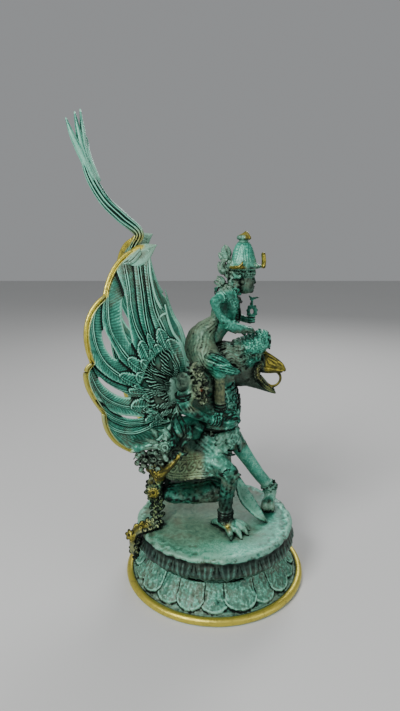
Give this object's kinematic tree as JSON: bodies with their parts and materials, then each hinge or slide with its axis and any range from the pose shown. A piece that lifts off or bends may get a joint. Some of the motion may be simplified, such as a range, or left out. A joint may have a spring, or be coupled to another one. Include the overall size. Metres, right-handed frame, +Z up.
{
  "type": "vishnu on garuda statue",
  "caption": "Hollow cast bronze statue of a crowned rider on a winged bird-man who lunges on a rock over a round lotus plinth; it stands on its underside.",
  "frame": {"origin": "centre of the round plinth's underside", "axes": "+Z up, +X the way the bird-man faces and his beak points, +Y towards the bird-man's left hand"},
  "size_m": [0.1958, 0.161, 0.395],
  "materials": {
    "patinated_bronze": "blue-green verdigris over dark cast bronze, rubbed to gold on the rims"
  },
  "bodies": {
    "root": {"lotus_plinth": "patinated_bronze", "garuda_and_vishnu": "patinated_bronze", "right_wing": "patinated_bronze", "left_wing": "patinated_bronze", "tail_plume": "patinated_bronze"}
  },
  "joints": []
}
